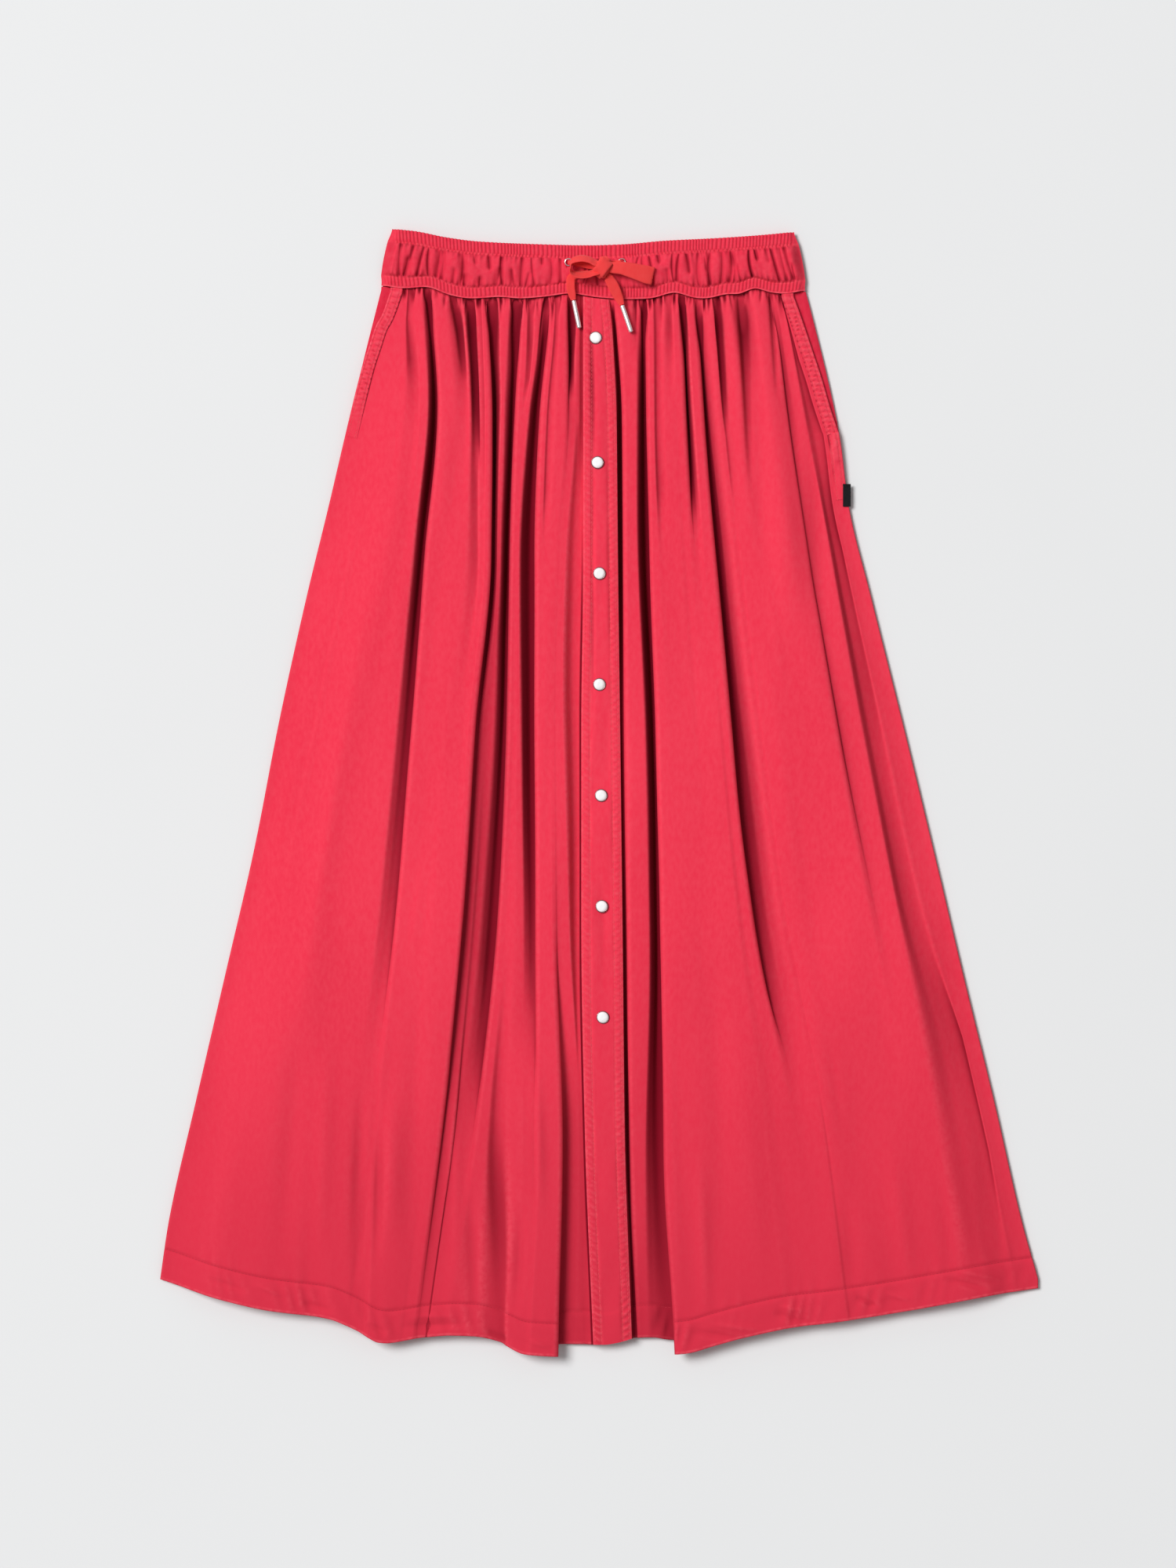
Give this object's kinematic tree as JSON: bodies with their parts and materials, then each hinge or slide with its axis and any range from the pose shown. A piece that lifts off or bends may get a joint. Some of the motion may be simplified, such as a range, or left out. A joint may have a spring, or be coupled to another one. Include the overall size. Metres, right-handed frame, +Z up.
{
  "type": "maxi skirt",
  "caption": "Long A-line skirt with a snapped centre front placket, slanted pocket openings and a gathered, ribbed waistband tied with a flat ribbon bow, laid flat.",
  "frame": {"origin": "centre of the bounding box's footprint, on the surface the skirt lies on", "axes": "+X to the right as seen from above with the waist away from the viewer, +Y from the hem towards the waist, +Z up from the surface"},
  "size_m": [0.7388, 0.9472, 0.0241],
  "materials": {
    "dyed_cloth": "soft washed twill",
    "ribbon": "matte woven ribbon",
    "pearl": "pearl cap in a ring",
    "bright_metal": "polished",
    "black_tape": "plain woven tape"
  },
  "bodies": {
    "root": {"front_left": "dyed_cloth", "front_right": "dyed_cloth", "placket": "dyed_cloth", "pocket_band_left": "dyed_cloth", "pocket_band_right": "dyed_cloth", "waistband_front": "dyed_cloth", "waistband_back": "dyed_cloth", "back": "dyed_cloth", "pocket_bearer_left": "dyed_cloth", "pocket_bearer_right": "dyed_cloth", "ribbon_knot": "ribbon", "ribbon_left_lead": "ribbon", "ribbon_left_loop": "ribbon", "ribbon_left_tail": "ribbon", "ribbon_right_lead": "ribbon", "ribbon_right_loop": "ribbon", "ribbon_right_tail": "ribbon", "snap_1": "pearl", "snap_2": "pearl", "snap_3": "pearl", "snap_4": "pearl", "snap_5": "pearl", "snap_6": "pearl", "snap_7": "pearl", "eyelet_left": "bright_metal", "eyelet_right": "bright_metal", "aglet_left": "bright_metal", "aglet_right": "bright_metal", "side_tab": "black_tape"}
  },
  "joints": []
}
